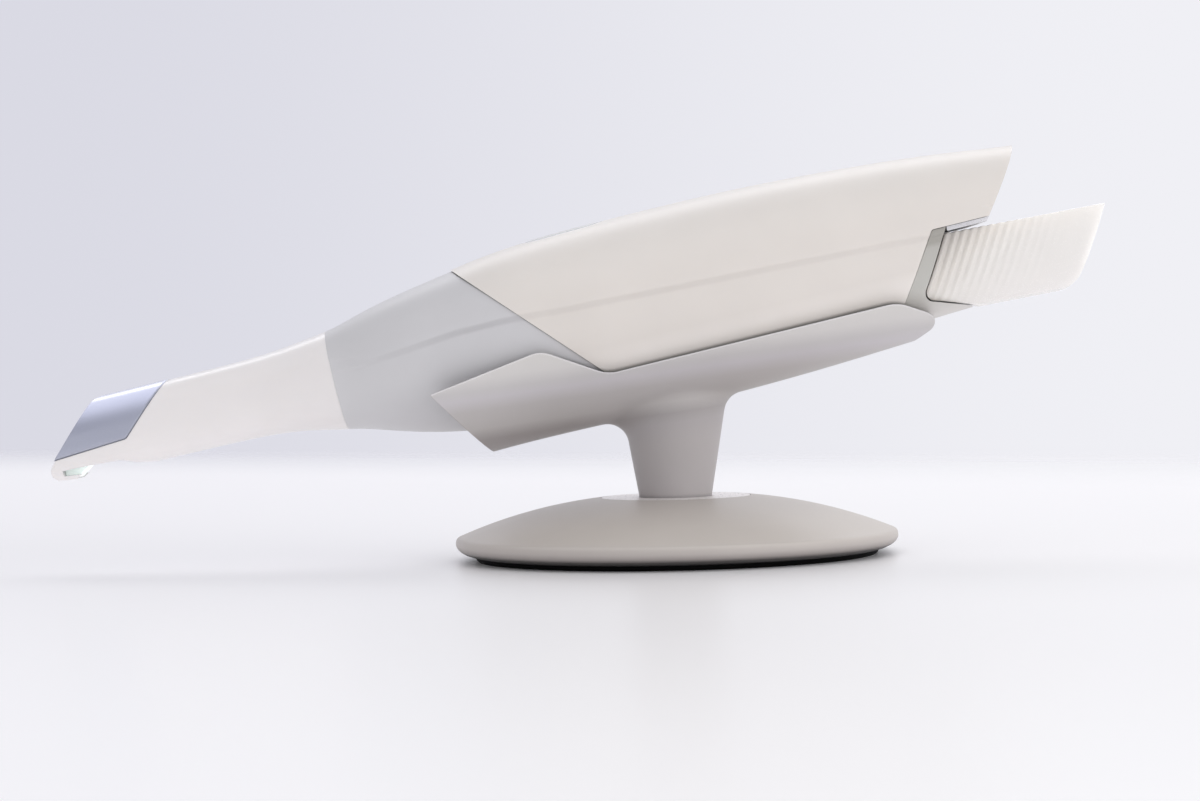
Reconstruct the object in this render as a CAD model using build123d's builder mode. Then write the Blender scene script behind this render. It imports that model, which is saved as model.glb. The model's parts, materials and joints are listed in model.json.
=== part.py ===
from build123d import *
import os
from math import cos, radians, sin, tan

# Millimetres and degrees. The origin is on the table under the stem, +Z up and +X towards the tail.
# The handset lies nose down in its cradle, so it is drawn in a frame of its own, tilted with it.
tilt = 12.4
seat_height = 41.5

# Handset outer form, along from the stem axis and up from its lowest line
seam_x = -82.5
body_length = 182.0
body_width = 48.0
body_height = 47.4
belt_band = 2.6
belt_step = 0.9
reveal = 0.4
shell_wall = 2.2
housing_wall = 2.3
seam_gap = 0.08
lip_wall = 1.3
lip_length = 5.0

# Sleeve and the nose that it slides on
sleeve_length = 77.5
sleeve_width = 19.8
sleeve_height = 19.6
axis_height = 24.6
sleeve_wall = 1.5
cap_thickness = 0.7
cap_bevel = 0.55
neck_length = 8.0
neck_wall = 1.2
nose_length = 50.0
nose_wall = 1.2
nose_inside = 4.0

# Clearances: moving pieces, seated pieces, and the overrun of cuts
slide_gap = 0.35
seat_gap = 0.1
overrun = 80.0

# Optics on the sleeve's axis
barrel_radius = 6.6
barrel_wall = 0.9
lens_thickness = 2.6
window_thickness = 1.0
barrel_setback = 4.0
lens_bulge = 0.9
mirror_thickness = 1.2
mirror_width = 13.0
window_width = 9.0
block_front = -60.0
block_length = 46.0
block_width = 22.0
block_height = 22.0
prism_size = 12.0
prism_back = 18.0
projector_bore = 5.0
board_thickness = 1.4
sensor_width = 9.0
sensor_height = 7.0
sensor_thickness = 1.5

# Chassis and electronics
chassis_lead = 2.0
chassis_thickness = 1.6
chassis_back = 36.0
chassis_width = 21.0
chassis_post_front = -5.0
chassis_post_back = 27.0
chassis_post_side = 8.0
front_post_x = -50.0
front_post_side = 7.0
post_radius = 2.6
post_bore = 1.15
screw_head_radius = 2.2
screw_head_height = 1.5
screw_length = 5.0
main_board_height = 27.0
main_board_front = -8.0
main_board_length = 74.0
main_board_width = 33.0
board_post_front = -2.0
board_post_back = 60.0
board_post_side = 13.0
chip_size = 13.0
chip_thickness = 1.3
chip_x = 22.0
spreader_thickness = 2.0
haptic_x = 58.0

# Scan button, flush with the crown of the shell
button_x = -18.0
button_length = 20.0
button_width = 11.0
button_travel = 0.6
ring_width = 1.4
switch_height = 2.0
button_board_drop = 6.5
button_post_reach = 14.0
button_board_reach = 18.0

# Battery: a ribbed grip outside the tail and a plug that goes into the bay
rake = 60.9
battery_front = 62.7
battery_length = 41.2
battery_top = 23.25
battery_half_width = 20.6
battery_wall = 1.8
flute_pitch = 2.3
flute_depth = 0.5
flute_count = 14
flute_lead = 2
keel_front = 3.85
plug_front = 43.0
plug_width = 27.0
plug_bottom = 8.8
plug_top = 19.6
plug_radius = 4.0
plug_wall = 1.2
bay_wall = 1.3
contact_width = 1.6
contact_pitch = 4.0
connector_width = 24.0
connector_height = 8.0
tail_plate_thickness = 1.2

# Stand
cradle_fit = 0.4
cradle_wall = 3.2
stem_low_radius = 9.35
stem_low_z = 15.7
stem_flare = 9.7
stem_fillet = 5.5
base_radius = 56.6
base_rim_height = 4.6
base_top = 15.35
base_wall = 2.6
rim_bevel = 1.2
foot_rebate = 3.0
rim_rise = 1.7
rim_low = 1.2
dome_rise = 1.45
disc_radius = 19.2
disc_thickness = 0.9
foot_radius = 51.4
foot_thickness = 1.8
weight_radius = 46.0
weight_thickness = 5.0
bolt_radius = 3.0
bolt_head_radius = 5.4
bolt_head_height = 3.4
washer_thickness = 1.0
washer_radius = 6.2
head_bore_radius = 6.75

# Cross-sections of the body: along, half width, top, belt, bottom, belt step, fullness of the curves
body_shares = (
    (0.000, 0.275, 0.776, 0.535, 0.232, 0.00, 0.66),
    (0.052, 0.325, 0.828, 0.577, 0.175, 0.25, 0.65),
    (0.116, 0.383, 0.886, 0.598, 0.101, 0.70, 0.63),
    (0.180, 0.426, 0.930, 0.618, 0.051, 1.00, 0.62),
    (0.247, 0.462, 0.968, 0.621, 0.021, 1.00, 0.61),
    (0.343, 0.490, 0.994, 0.600, 0.006, 1.00, 0.60),
    (0.453, 0.500, 1.000, 0.581, 0.000, 1.00, 0.60),
    (0.563, 0.500, 0.998, 0.563, 0.003, 1.00, 0.60),
    (0.673, 0.492, 0.984, 0.545, 0.017, 1.00, 0.60),
    (0.783, 0.477, 0.957, 0.525, 0.040, 1.00, 0.60),
    (0.893, 0.456, 0.918, 0.500, 0.063, 1.00, 0.60),
    (1.020, 0.427, 0.862, 0.468, 0.075, 1.00, 0.60),
)

# Sleeve, from the seam to the nose: along, share of the flare to the body's size, share of the width
sleeve_shares = (
    (0.000, 1.00, 1.00),
    (0.110, 0.53, 1.00),
    (0.226, 0.19, 1.00),
    (0.355, 0.06, 1.00),
    (0.548, 0.01, 1.00),
    (0.740, 0.00, 1.00),
    (0.880, 0.00, 0.96),
    (1.020, 0.00, 0.86),
)
tip_fullness_share = 0.72

# Side outlines in shares of the body's length and height, and of the sleeve's about its axis
front_line_share = ((0.1620, 1.055), (0.3846, 0.135), (0.4313, -0.063))
rear_line_share = ((0.7830, 0.135), (0.8467, 0.523))
overhang_share = ((0.9280, 0.523), (1.0325, 1.055))
frame_share = ((0.8670, 0.523), (0.8154, 0.173), (0.8797, 0.091), (0.8984, 0.061), (0.9040, -0.063))
sleeve_outline_share = (
    (-0.060, 1.100), (0.470, 0.565), (0.782, 0.490), (0.953, -0.184), (0.977, -0.300), (0.976, -0.400),
    (0.963, -0.440), (0.940, -0.440), (0.940, -0.334), (0.854, -0.344), (0.743, -0.370), (0.689, -0.460),
    (0.560, -0.560), (-0.060, -1.100),
)
sleeve_corner_share = (0, 0, 0.28, 0.03, 0.08, 0.06, 0.03, 0, 0, 0, 0.10, 0.15, 0, 0)
rail_share = ((0.952, -0.394), (0.887, -0.428), (0.905, -0.476), (0.965, -0.440))
cap_share = ((1.065, -0.209), (0.707, -0.125), (0.520, 0.582), (0.520, 1.100), (1.065, 1.100))
frame_corner_share = 0.046
grip_keel_share = 0.0415
grip_corner_share = 0.145
cap_proud = 0.25
cap_corner = 1.5
cap_rim_share = (0.55, 0.94, -0.12)

# Window in the nose's notch and its hole, margin of the mirror, and falls of the grip along its length
window_share = (
    (0.938, -0.336), (0.938, -0.432), (0.902, -0.455), (0.861, -0.342), (0.770, -0.360), (0.770, -0.300),
    (0.925, -0.280), (0.925, -0.336),
)
window_hole_share = ((0.926, -0.220), (0.926, -0.420), (0.766, -0.420), (0.766, -0.220))
mirror_margin_share = 0.16
top_fall_share = 0.0535
keel_rise_share = 0.0455
taper_share = 0.040
grip_station_shares = (0, 0.5, 1.05)
cradle_lead_shares = (0.08, 0.20)

# Cradle side outline: along, up and corner radius in shares of the body's length, height and height
cradle_share = (
    (0.1275, 0.308, 0.008),
    (0.2885, 0.395, 0.140),
    (0.3700, 0.194, 0.190),
    (0.7780, 0.194, 0.200),
    (0.8180, 0.104, 0.110),
    (0.8360, 0.040, 0.050),
    (0.8000, -0.030, 0.000),
    (0.7500, -0.200, 0.000),
    (0.2100, -0.200, 0.000),
)

handset = Plane(
    origin=(0, 0, seat_height),
    x_dir=(cos(radians(tilt)), 0, sin(radians(tilt))),
    z_dir=(-sin(radians(tilt)), 0, cos(radians(tilt))),
)


def across(x, y=0, z=0):
    """Sketch plane across the handset: sketch X to +Y, sketch Y up, normal to the tail."""
    return Plane(origin=handset.from_local_coords((x, y, z)), x_dir=handset.y_dir, z_dir=handset.x_dir)


def side():
    """Sketch plane along the handset's middle: sketch X to the tail, sketch Y up."""
    return Plane(origin=handset.origin, x_dir=handset.x_dir, z_dir=-handset.y_dir)


def deck(z, x=0, y=0):
    """Sketch plane level with the handset at height z: sketch X to the tail, normal up."""
    return Plane(origin=handset.from_local_coords((x, y, z)), x_dir=handset.x_dir, z_dir=handset.z_dir)


def at(along, up):
    return (seam_x + along * body_length, up * body_height)


def nose_at(along, up):
    return (seam_x - along * sleeve_length, axis_height + up * sleeve_height)


def cross_section(plane, half_width, top, belt, bottom, step, fullness):
    """One closed section: a crown, a soft step under the belt line and a rounded keel."""
    under = half_width - step
    shelf = belt - belt_band
    crown_pull = fullness * (top - belt)
    keel_pull = fullness * (shelf - bottom)
    with BuildSketch(plane) as section:
        with BuildLine():
            Bezier(
                (0, top), (fullness * half_width, top),
                (half_width, belt + crown_pull), (half_width, belt),
            )
            Bezier(
                (half_width, belt), (half_width, belt - belt_band / 2),
                (under, belt - belt_band / 2), (under, shelf),
            )
            Bezier((under, shelf), (under, shelf - keel_pull), (fullness * under, bottom), (0, bottom))
            mirror(about=Plane.YZ)
        make_face()
    return section.sketch


def body_section(row, inset, reveal_depth=0):
    along, wide, top, belt, bottom, step, fullness = row
    depth = inset + reveal_depth * step
    return cross_section(
        across(seam_x + along * body_length), wide * body_width - depth, top * body_height - depth,
        belt * body_height, bottom * body_height + depth, step * belt_step, fullness,
    )


def body_form(inset=0, reveal_depth=0):
    """The handset's outer form, drawn in by inset all round."""
    with BuildPart() as form:
        loft([body_section(row, inset, reveal_depth) for row in body_shares])
    return form.part


def sleeve_section(x, flare, width, inset):
    seam = body_shares[0]
    half_width = width * sleeve_width / 2
    tip_top = axis_height + sleeve_height / 2
    tip_bottom = axis_height - sleeve_height / 2
    belt = axis_height + flare * (seam[3] * body_height - axis_height)
    return cross_section(
        across(x),
        half_width + flare * (seam[1] * body_width - half_width) - inset,
        tip_top + flare * (seam[2] * body_height - tip_top) - inset,
        belt + belt_band / 2 * (1 - flare),
        tip_bottom + flare * (seam[4] * body_height - tip_bottom) + inset,
        0,
        tip_fullness_share + flare * (seam[6] - tip_fullness_share),
    )


def sleeve_form(inset=0):
    """The sleeve's outer form, drawn in by inset all round."""
    with BuildPart() as form:
        loft([sleeve_section(seam_x - along * sleeve_length, flare, width, inset)
              for along, flare, width in sleeve_shares])
    return form.part


def rear_x(up):
    """Where the shell's raked rear line stands at a height."""
    (x0, z0), (x1, z1) = at(*rear_line_share[0]), at(*rear_line_share[1])
    return x0 + (up - z0) * (x1 - x0) / (z1 - z0)


def prism(points, half_width=overrun, radius=0):
    """A slab of the given side outline, half_width to each side."""
    with BuildPart() as slab:
        with BuildSketch(side()):
            with BuildLine():
                FilletPolyline(*points, radius=radius, close=True)
            make_face()
        extrude(amount=half_width, both=True)
    return slab.part


def block(x0, x1, z0, z1, width, y=0):
    """A box along the handset, from x0 to x1 and z0 to z1."""
    with BuildPart() as box:
        with BuildSketch(deck(z0, (x0 + x1) / 2, y)):
            Rectangle(x1 - x0, width)
        extrude(amount=z1 - z0)
    return box.part


# Sleeve: one moulding with a recess for its cap and a notch with the window at the nose
def sleeve_body(inset=0):
    outline = [nose_at(*share) for share in sleeve_outline_share]
    corners = [share * sleeve_height for share in sleeve_corner_share]
    with BuildPart() as body:
        add(sleeve_form(inset))
        with BuildSketch(side()):
            with BuildLine():
                FilletPolyline(*outline, radius=corners, close=True)
            make_face()
            if inset:
                offset(amount=-inset, kind=Kind.INTERSECTION)
        extrude(amount=overrun, both=True, mode=Mode.INTERSECT)
    return body.part


cap_region = prism([nose_at(*share) for share in cap_share], radius=(0, cap_corner, 0, 0, 0))
sleeve_skin = sleeve_body()
sleeve_under_cap = sleeve_body(cap_thickness)
sleeve_cavity = sleeve_body(sleeve_wall)
face_top = Vector(*nose_at(*sleeve_outline_share[2]))
face_low = Vector(*nose_at(*sleeve_outline_share[3]))
face_run = face_low - face_top
face_inward = Vector(-face_run.Y, face_run.X).normalized()


def face_point(run, depth):
    """A point at a share of the nose's sloping face and a depth under it."""
    point = face_top + face_run * run + face_inward * depth
    return (point.X, point.Y)


with BuildPart() as cap_recess:
    add(cap_region)
    add(sleeve_under_cap, mode=Mode.SUBTRACT)

window_room = window_width / 2 + seat_gap
with BuildPart() as window_rails:
    add(prism([nose_at(*share) for share in rail_share], sleeve_width / 2))
    add(prism([nose_at(*share) for share in rail_share], window_room), mode=Mode.SUBTRACT)
    add(sleeve_form(), mode=Mode.INTERSECT)

with BuildPart() as sleeve_shell:
    add(sleeve_skin)
    add(sleeve_cavity, mode=Mode.SUBTRACT)
    add(cap_recess.part, mode=Mode.SUBTRACT)
    add(prism([nose_at(*share) for share in window_hole_share], window_room), mode=Mode.SUBTRACT)
    add(window_rails.part)


def on_cap_rim(edge):
    """Whether an edge of the cap's skin lies on its lower or its rear border."""
    middle = handset.to_local_coords(edge.center())
    back, front = nose_at(cap_rim_share[0], 0)[0], nose_at(cap_rim_share[1], 0)[0]
    return middle.X > back or (middle.X > front and middle.Z < nose_at(0, cap_rim_share[2])[1])


with BuildPart() as tip_cap:
    add(sleeve_body(-cap_proud))
    add(cap_recess.part, mode=Mode.INTERSECT)
    cap_skin = tip_cap.faces().sort_by(SortBy.AREA)[-1]
    chamfer(cap_skin.edges().filter_by(on_cap_rim), cap_bevel)

mirror_depth = sleeve_wall + seat_gap
with BuildPart() as tip_mirror:
    add(
        prism(
            [face_point(mirror_margin_share, mirror_depth), face_point(1 - mirror_margin_share, mirror_depth),
             face_point(1 - mirror_margin_share, mirror_depth + mirror_thickness),
             face_point(mirror_margin_share, mirror_depth + mirror_thickness)],
            mirror_width / 2,
        )
    )

with BuildPart() as tip_window:
    add(prism([nose_at(*share) for share in window_share], window_width / 2))

# Nose of the handset: a straight tube with the lens barrel in it
tube_inset = sleeve_wall + slide_gap
tube_inside = tube_inset + nose_wall
nose_end = seam_x - nose_length
tube_length = nose_length + nose_inside


def nose_section(x, inset):
    return sleeve_section(x, 0, 1, inset)


with BuildPart() as nose_tube:
    extrude(nose_section(nose_end, tube_inset), amount=tube_length)
    extrude(nose_section(nose_end, tube_inside), amount=tube_length, mode=Mode.SUBTRACT)

with BuildPart() as front_window:
    extrude(nose_section(nose_end, tube_inside + seat_gap), amount=window_thickness)

barrel_front = nose_end + barrel_setback
barrel_back = block_front + window_thickness
with BuildPart() as lens_barrel:
    with BuildSketch(across(barrel_front, 0, axis_height)):
        Circle(barrel_radius)
        Circle(barrel_radius - barrel_wall, mode=Mode.SUBTRACT)
    extrude(amount=barrel_back - barrel_front)


def lens(x, radius, bulge):
    """A biconvex lens on the axis."""
    front, back = x - lens_thickness / 2, x + lens_thickness / 2
    high, low = axis_height + radius, axis_height - radius
    with BuildPart() as glass:
        with BuildSketch(side()):
            with BuildLine():
                Line((front, high), (back, high))
                ThreePointArc((back, high), (back + bulge, axis_height), (back, low))
                Line((back, low), (front, low))
                ThreePointArc((front, low), (front - bulge, axis_height), (front, high))
            make_face()
            with Locations((x, axis_height + overrun / 2)):
                Rectangle(overrun, overrun, mode=Mode.INTERSECT)
        revolve(axis=Axis(handset.from_local_coords((x, 0, axis_height)), handset.x_dir))
    return glass.part


lens_radius = barrel_radius - barrel_wall - seat_gap / 2
with BuildPart() as objective_lens:
    add(lens(barrel_front + lens_thickness, lens_radius, lens_bulge))

with BuildPart() as relay_lens:
    add(lens((barrel_front + barrel_back) / 2, lens_radius, lens_bulge))

with BuildPart() as field_lens:
    add(lens(barrel_back - 2 * lens_thickness, lens_radius, lens_bulge))

# Optics block with the beam splitter, the camera behind it and the projector above it
block_back = block_front + block_length
block_low = axis_height - block_height / 2
block_high = axis_height + block_height / 2
prism_x = block_back - prism_back
pocket = prism_size + 2 * seat_gap
with BuildPart() as optics_block:
    add(block(block_front, block_back, block_low, block_high, block_width))
    with BuildSketch(across(block_front, 0, axis_height)):
        Circle(barrel_radius + seat_gap)
    extrude(amount=block_length, mode=Mode.SUBTRACT)
    with BuildSketch(deck(axis_height, prism_x)):
        Circle(projector_bore)
    extrude(amount=block_height, mode=Mode.SUBTRACT)
    add(
        block(prism_x - pocket / 2, prism_x + pocket / 2, axis_height - pocket / 2, axis_height + pocket / 2,
              block_width, block_width / 2 - pocket / 2),
        mode=Mode.SUBTRACT,
    )

with BuildPart() as beam_splitter:
    add(
        block(prism_x - prism_size / 2, prism_x + prism_size / 2, axis_height - prism_size / 2,
              axis_height + prism_size / 2, prism_size)
    )

with BuildPart() as camera_board:
    with BuildSketch(across(block_back, 0, axis_height)):
        Rectangle(block_width - 2 * seat_gap, block_height - 2 * seat_gap)
    extrude(amount=board_thickness)

with BuildPart() as image_sensor:
    with BuildSketch(across(block_back, 0, axis_height)):
        Rectangle(sensor_width, sensor_height)
    extrude(amount=-sensor_thickness)

with BuildPart() as projector_lens:
    with BuildSketch(deck(axis_height + pocket / 2 + seat_gap, prism_x)):
        Circle(projector_bore - seat_gap / 2)
    extrude(amount=lens_thickness)
    fillet(projector_lens.edges().filter_by(GeomType.CIRCLE).sort_by(Axis.Z)[-1], lens_thickness / 3)

with BuildPart() as projector_board:
    with BuildSketch(deck(block_high, prism_x)):
        Rectangle(block_width, block_width - 2 * seat_gap)
    extrude(amount=board_thickness)

with BuildPart() as projector_lamp:
    with BuildSketch(deck(block_high, prism_x)):
        Rectangle(projector_bore, projector_bore)
    extrude(amount=-sensor_thickness)

# Chassis plate under the optics, screwed to posts of the lower housing
chassis_top = block_low - seat_gap
chassis_low = chassis_top - chassis_thickness
chassis_front = block_front - chassis_lead
post_places = [(x, y) for x in (chassis_post_front, chassis_post_back)
               for y in (-chassis_post_side, chassis_post_side)]
front_post_places = [(front_post_x, -front_post_side), (front_post_x, front_post_side)]
with BuildPart() as chassis:
    add(block(chassis_front, chassis_back, chassis_low, chassis_top, chassis_width))
    with BuildSketch(deck(chassis_low)):
        with Locations(*post_places):
            Circle(post_bore + seat_gap)
    extrude(amount=chassis_thickness, mode=Mode.SUBTRACT)


def screws(places, seat, direction):
    """A row of pan-head screws whose heads stand on a plane of the handset."""
    with BuildPart() as group:
        with BuildSketch(deck(seat)):
            with Locations(*places):
                Circle(screw_head_radius)
        extrude(amount=-direction * screw_head_height)
        with BuildSketch(deck(seat)):
            with Locations(*places):
                Circle(post_bore - seat_gap / 2)
        extrude(amount=direction * screw_length)
    return group.part


with BuildPart() as chassis_screws:
    add(screws(post_places, chassis_top, -1))


def posts(places, low, high, radius, form):
    """Screw posts between two heights, kept inside a form."""
    with BuildPart() as group:
        with BuildSketch(deck(low)):
            with Locations(*places):
                Circle(radius)
        extrude(amount=high - low)
        add(form, mode=Mode.INTERSECT)
    return group.part


def post_holes(places, seat, direction):
    """Bores for screws whose heads stand on a plane of the handset."""
    with BuildPart() as group:
        with BuildSketch(deck(seat)):
            with Locations(*places):
                Circle(post_bore)
        extrude(amount=direction * (screw_length + seat_gap))
    return group.part


def layer(outside, inside, region):
    """The stretch of wall between two forms that lies in a region."""
    with BuildPart() as wall:
        add(region)
        add(outside, mode=Mode.INTERSECT)
        add(inside, mode=Mode.SUBTRACT)
    return wall.part


# Front housing: the grey nose with the neck for the sleeve and a lip under the shell
grey_form = body_form(0, reveal)
grey_inside = body_form(housing_wall + reveal)
wall_middle = body_form(housing_wall / 2 + reveal)
shell_inside = body_form(shell_wall)
lip_outside = body_form(shell_wall + seat_gap)
lip_inside = body_form(shell_wall + seat_gap + lip_wall)
line = [at(*share) for share in front_line_share]
far_front = seam_x - overrun
front_outline = [(x - seam_gap, z) for x, z in line] + [(far_front, line[2][1]), (far_front, line[0][1])]
lip_outline = [(line[0][0] - lip_length, line[0][1]), (line[0][0] + lip_length, line[0][1]),
               (line[1][0] + lip_length, line[1][1]), (line[1][0] - lip_length, line[1][1])]
neck_front = seam_x - neck_length
neck_inside = tube_inset + neck_wall
with BuildPart() as front_housing:
    add(prism(front_outline))
    add(grey_form, mode=Mode.INTERSECT)
    add(grey_inside, mode=Mode.SUBTRACT)
    add(layer(lip_outside, lip_inside, prism(lip_outline)))
    add(layer(body_form(tube_inset), body_form(neck_inside + seat_gap),
              block(seam_x, seam_x + nose_inside, 0, overrun, overrun)))
    add(layer(sleeve_form(tube_inset), sleeve_form(neck_inside),
              block(neck_front + neck_wall, seam_x, 0, overrun, overrun)))
    add(block(neck_front, neck_front + neck_wall, 0, overrun, overrun) & sleeve_form(tube_inset))
    extrude(nose_section(nose_end, tube_inset - seat_gap), amount=tube_length, mode=Mode.SUBTRACT)
    add(posts(front_post_places, 0, chassis_low, post_radius, wall_middle))

# Rear housing: the grey belly, the raked band and tongue at the tail, and the battery bay
skirt_height = at(*rear_line_share[0])[1]
deck_height = at(*rear_line_share[1])[1]
frame = [at(*share) for share in frame_share]
bay_front = plug_front - slide_gap - bay_wall
bay_low = plug_bottom - slide_gap - bay_wall
bay_high = plug_top + slide_gap + bay_wall
bay_width = plug_width + 2 * (slide_gap + bay_wall)
frame_corner = frame_corner_share * body_height
belly_outline = [
    (line[1][0] + seam_gap, skirt_height - seam_gap),
    (rear_x(skirt_height - seam_gap) + seam_gap, skirt_height - seam_gap),
    (rear_x(deck_height) + seam_gap, deck_height - seat_gap),
    (frame[0][0], deck_height - seat_gap),
    *frame[1:],
    (line[2][0] + seam_gap, line[2][1]),
]
pin_places = [(y * contact_pitch, 0) for y in (-2, -1, 0, 1, 2)]
pin_height = (plug_bottom + plug_top) / 2
with BuildPart() as bay_walls:
    with BuildSketch(across(bay_front, 0, (bay_low + bay_high) / 2)):
        RectangleRounded(bay_width, bay_high - bay_low, plug_radius + bay_wall)
    extrude(amount=rear_x(deck_height) - bay_front)
    add(
        prism([(bay_front - bay_wall, 0), (rear_x(0) + bay_wall, 0),
               (rear_x(deck_height) + bay_wall, deck_height), (bay_front - bay_wall, deck_height)]),
        mode=Mode.INTERSECT,
    )

with BuildPart() as rear_housing:
    add(prism(belly_outline, radius=(0, 0, frame_corner / 2, 0, frame_corner, frame_corner, 0, 0, 0)))
    add(grey_form, mode=Mode.INTERSECT)
    add(layer(grey_inside, bay_walls.part,
              block(line[1][0] - lip_length, rear_x(0), -overrun, overrun, overrun)), mode=Mode.SUBTRACT)
    add(bay_walls.part)
    with BuildSketch(across(plug_front - slide_gap, 0, pin_height)):
        RectangleRounded(plug_width + 2 * slide_gap, plug_top - plug_bottom + 2 * slide_gap, plug_radius)
    extrude(amount=overrun, mode=Mode.SUBTRACT)
    with BuildSketch(across(bay_front, 0, pin_height)):
        with Locations(*pin_places):
            Circle(contact_width / 2)
    extrude(amount=bay_wall, mode=Mode.SUBTRACT)
    add(posts(post_places, 0, chassis_low, post_radius, wall_middle))
    add(post_holes(post_places, chassis_top, -1), mode=Mode.SUBTRACT)

with BuildPart() as bay_pins:
    with BuildSketch(across(bay_front - contact_pitch, 0, pin_height)):
        with Locations(*pin_places):
            Circle(contact_width / 2 - seat_gap / 2)
    extrude(amount=contact_pitch + bay_wall)

with BuildPart() as bay_connector:
    with BuildSketch(across(bay_front, 0, pin_height)):
        Rectangle(connector_width, connector_height)
        with Locations(*pin_places):
            Circle(contact_width / 2, mode=Mode.SUBTRACT)
    extrude(amount=-contact_pitch)

# Tail plate under the shell's overhang
plate_front = frame[0][0] + seat_gap
overhang = [at(*share) for share in overhang_share]
plate_low = deck_height - tail_plate_thickness
tail_slope = (overhang[1][0] - overhang[0][0]) / (overhang[1][1] - overhang[0][1])
with BuildPart() as tail_plate:
    add(prism([(plate_front, deck_height - seat_gap), (plate_front, plate_low),
               (overhang[0][0] - tail_plate_thickness * tail_slope, plate_low),
               (overhang[0][0], deck_height - seat_gap)]))
    add(grey_form, mode=Mode.INTERSECT)

# Shell: the white back of the handset, with its overhanging raked tail
main_post_places = [(x, y) for x in (board_post_front, board_post_back)
                    for y in (-board_post_side, board_post_side)]
button_post_places = [(button_x - button_post_reach, 0), (button_x + button_post_reach, 0)]
main_board_top = main_board_height + board_thickness
button_board_top = body_height - button_board_drop
tail_wall = shell_wall * (1 + tail_slope ** 2) ** 0.5
shell_outline = [line[0], line[1], (rear_x(skirt_height), skirt_height), (rear_x(deck_height), deck_height),
                 overhang[0], overhang[1]]
ring_length = button_length + 2 * (slide_gap + ring_width)
ring_breadth = button_width + 2 * (slide_gap + ring_width)
over_crown = body_height + shell_wall


def slot(length, breadth, low, high):
    """An upright slab with round ends at the button."""
    with BuildPart() as slab:
        with BuildSketch(deck(low, button_x)):
            SlotOverall(length, breadth)
        extrude(amount=high - low)
    return slab.part


with BuildPart() as shell_cavity:
    add(prism([(far_front, -overrun), (overhang[0][0] - tail_wall, -overrun),
               (overhang[0][0] - tail_wall, overhang[0][1]), (overhang[1][0] - tail_wall, overhang[1][1]),
               (far_front, overhang[1][1])]))
    add(shell_inside, mode=Mode.INTERSECT)

with BuildPart() as top_shell:
    add(prism(shell_outline, radius=(0, 0, 0, frame_corner / 2, 0, 0)))
    add(body_form(), mode=Mode.INTERSECT)
    add(shell_cavity.part, mode=Mode.SUBTRACT)
    add(posts(main_post_places, main_board_top, overrun, post_radius, body_form(shell_wall / 2)))
    add(posts(button_post_places, button_board_top, overrun, post_radius, body_form(shell_wall / 2)))
    add(post_holes(main_post_places, main_board_height, 1), mode=Mode.SUBTRACT)
    add(post_holes(button_post_places, button_board_top - board_thickness, 1), mode=Mode.SUBTRACT)
    add(slot(ring_length + 2 * seat_gap, ring_breadth + 2 * seat_gap, button_board_top, over_crown),
        mode=Mode.SUBTRACT)

with BuildPart() as status_ring:
    add(slot(ring_length, ring_breadth, button_board_top, over_crown))
    add(slot(button_length + 2 * slide_gap, button_width + 2 * slide_gap, button_board_top, over_crown),
        mode=Mode.SUBTRACT)
    add(body_form(), mode=Mode.INTERSECT)
    add(shell_inside, mode=Mode.SUBTRACT)

with BuildPart() as scan_button:
    add(slot(button_length, button_width, button_board_top, over_crown))
    add(body_form(), mode=Mode.INTERSECT)
    add(shell_inside, mode=Mode.SUBTRACT)
    with BuildSketch(deck(button_board_top + switch_height + button_travel + seat_gap, button_x)):
        Circle(switch_height)
    extrude(amount=body_height - shell_wall / 2 - button_board_top - switch_height - button_travel)

with BuildPart() as button_board:
    add(block(button_x - button_board_reach, button_x + button_board_reach,
              button_board_top - board_thickness, button_board_top, button_width))
    with BuildSketch(deck(button_board_top)):
        with Locations(*button_post_places):
            Circle(post_bore + seat_gap)
    extrude(amount=-board_thickness, mode=Mode.SUBTRACT)

with BuildPart() as button_switch:
    with BuildSketch(deck(button_board_top, button_x)):
        Rectangle(3 * switch_height, 3 * switch_height)
    extrude(amount=switch_height * 2 / 3)
    with BuildSketch(deck(button_board_top, button_x)):
        Circle(switch_height * 3 / 4)
    extrude(amount=switch_height)

with BuildPart() as button_screws:
    add(screws(button_post_places, button_board_top - board_thickness, 1))

# Main board under the shell
with BuildPart() as main_board:
    add(block(main_board_front, main_board_front + main_board_length, main_board_height, main_board_top,
              main_board_width))
    with BuildSketch(deck(main_board_height)):
        with Locations(*main_post_places):
            Circle(post_bore + seat_gap)
    extrude(amount=board_thickness, mode=Mode.SUBTRACT)

with BuildPart() as board_screws:
    add(screws(main_post_places, main_board_height, 1))

with BuildPart() as processor_chip:
    with BuildSketch(deck(main_board_top, chip_x)):
        Rectangle(chip_size, chip_size)
    extrude(amount=chip_thickness)

with BuildPart() as memory_chips:
    with BuildSketch(deck(main_board_top, chip_x + chip_size * 3 / 2)):
        with GridLocations(chip_size, chip_size, 1, 2):
            Rectangle(chip_size * 2 / 3, chip_size * 3 / 4)
    extrude(amount=chip_thickness)

with BuildPart() as heat_spreader:
    with BuildSketch(deck(main_board_top + chip_thickness, chip_x + chip_size * 3 / 4)):
        Rectangle(3 * chip_size, 2 * chip_size)
    extrude(amount=spreader_thickness)

with BuildPart() as haptic_motor:
    with BuildSketch(deck(main_board_top, haptic_x)):
        Circle(chip_size * 3 / 8)
    extrude(amount=2 * spreader_thickness)

with BuildPart() as antenna_board:
    add(block(plate_front, overhang[0][0] - tail_wall - seat_gap, deck_height - seat_gap,
              deck_height - seat_gap + board_thickness, chip_size * 2))

# Battery: ribbed grip, carrier that plugs into the bay, two cells, board and contacts
rake_slope = 1 / tan(radians(rake))


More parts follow.
